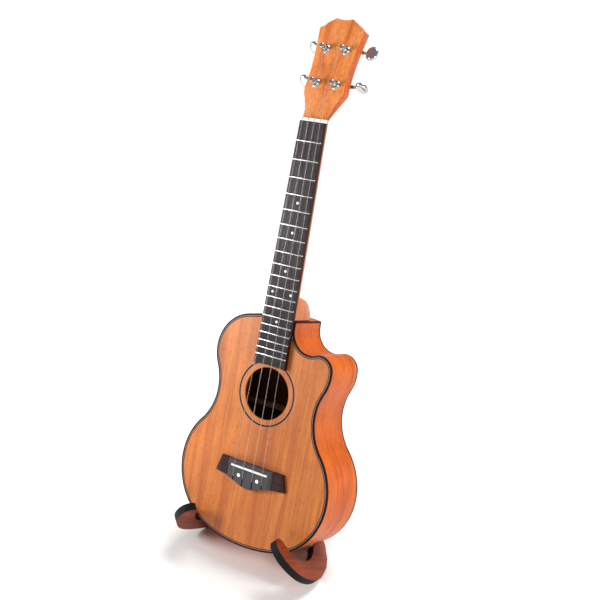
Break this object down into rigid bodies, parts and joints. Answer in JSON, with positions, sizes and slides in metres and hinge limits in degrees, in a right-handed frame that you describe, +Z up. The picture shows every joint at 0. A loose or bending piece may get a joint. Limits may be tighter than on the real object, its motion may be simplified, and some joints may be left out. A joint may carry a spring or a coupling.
{
  "type": "ukulele on stand",
  "caption": "Small four-string cutaway ukulele with geared tuners, leaning in an interlocking wooden floor stand.",
  "frame": {"origin": "centre of the base: midway across the overall box in X and Y, on the floor the stand's feet rest on", "axes": "+Z up; +Y to the back, the way the instrument leans; +X to the treble (cutaway) side"},
  "size_m": [0.222, 0.2704, 0.6467],
  "materials": {
    "top_wood": "satin lacquer over straight-grained mahogany",
    "side_wood": "satin lacquer over mahogany",
    "head_wood": "satin lacquer over mahogany",
    "neck_wood": "satin lacquer over mahogany",
    "inner_wood": "bare",
    "dark_wood": "oiled dark rosewood",
    "stand_wood": "veneered faces with black sealed edges",
    "dark_binding": "gloss",
    "pale_line": "gloss",
    "white_plastic": "polished",
    "string": "clear nylon",
    "steel": "polished",
    "chrome": "polished",
    "brass": "machined"
  },
  "bodies": {
    "stand": {"stand_board_right": "stand_wood", "stand_board_left": "stand_wood"},
    "instrument": {"soundboard": "top_wood", "back_plate": "side_wood", "side_bass": "side_wood", "side_treble": "side_wood", "cutaway_strip": "dark_binding", "binding_front": "dark_binding", "purfling_pale": "pale_line", "purfling_dark": "dark_binding", "binding_back": "dark_binding", "rosette_dark": "dark_binding", "rosette_pale": "pale_line", "lining_front": "inner_wood", "lining_back": "inner_wood", "neck_block": "inner_wood", "tail_block": "inner_wood", "top_braces": "inner_wood", "bridge_patch": "inner_wood", "back_braces": "inner_wood", "bridge": "dark_wood", "saddle": "white_plastic", "bridge_bolts": "steel", "bridge_dots": "white_plastic", "bridge_nuts": "steel", "neck": "neck_wood", "neck_dowels": "inner_wood", "headstock": "head_wood", "fretboard": "dark_wood", "frets": "steel", "position_dots": "white_plastic", "nut": "white_plastic", "string_g": "string", "string_c": "string", "string_e": "string", "string_a": "string", "tuner_housings": "chrome", "tuner_bushes": "chrome", "tuner_screws": "steel"},
    "tuner_button_g": {"button_g": "chrome", "button_shaft_g": "steel"},
    "tuner_post_g": {"post_g": "chrome", "gear_g": "brass", "winding_g": "string"},
    "tuner_button_c": {"button_c": "chrome", "button_shaft_c": "steel"},
    "tuner_post_c": {"post_c": "chrome", "gear_c": "brass", "winding_c": "string"},
    "tuner_button_e": {"button_e": "chrome", "button_shaft_e": "steel"},
    "tuner_post_e": {"post_e": "chrome", "gear_e": "brass", "winding_e": "string"},
    "tuner_button_a": {"button_a": "chrome", "button_shaft_a": "steel"},
    "tuner_post_a": {"post_a": "chrome", "gear_a": "brass", "winding_a": "string"}
  },
  "joints": [
    {"name": "lift_instrument_off_stand", "type": "slide", "parent": "stand", "child": "instrument", "axis": [0, 0.2496, 0.9684], "range_m": [0, 0.13]},
    {"name": "turn_button_g", "type": "hinge", "parent": "instrument", "child": "tuner_button_g", "pos_m": [-0.0404, 0.09907, 0.57137], "axis": [-1, 0, 0], "continuous": true},
    {"name": "turn_post_g", "type": "hinge", "parent": "instrument", "child": "tuner_post_g", "pos_m": [-0.0142, 0.08261, 0.57486], "axis": [0, -0.866, 0.5], "continuous": true},
    {"name": "turn_button_c", "type": "hinge", "parent": "instrument", "child": "tuner_button_c", "pos_m": [-0.0404, 0.12082, 0.60904], "axis": [-1, 0, 0], "continuous": true},
    {"name": "turn_post_c", "type": "hinge", "parent": "instrument", "child": "tuner_post_c", "pos_m": [-0.0142, 0.10436, 0.61254], "axis": [0, -0.866, 0.5], "continuous": true},
    {"name": "turn_button_e", "type": "hinge", "parent": "instrument", "child": "tuner_button_e", "pos_m": [0.0404, 0.12082, 0.60904], "axis": [1, 0, 0], "continuous": true},
    {"name": "turn_post_e", "type": "hinge", "parent": "instrument", "child": "tuner_post_e", "pos_m": [0.0142, 0.10436, 0.61254], "axis": [0, -0.866, 0.5], "continuous": true},
    {"name": "turn_button_a", "type": "hinge", "parent": "instrument", "child": "tuner_button_a", "pos_m": [0.0404, 0.09907, 0.57137], "axis": [1, 0, 0], "continuous": true},
    {"name": "turn_post_a", "type": "hinge", "parent": "instrument", "child": "tuner_post_a", "pos_m": [0.0142, 0.08261, 0.57486], "axis": [0, -0.866, 0.5], "continuous": true}
  ],
  "couplings": [
    {"joint": "turn_post_g", "follows": "turn_button_g", "ratio": 0.066667},
    {"joint": "turn_post_c", "follows": "turn_button_c", "ratio": 0.066667},
    {"joint": "turn_post_e", "follows": "turn_button_e", "ratio": 0.066667},
    {"joint": "turn_post_a", "follows": "turn_button_a", "ratio": 0.066667}
  ]
}
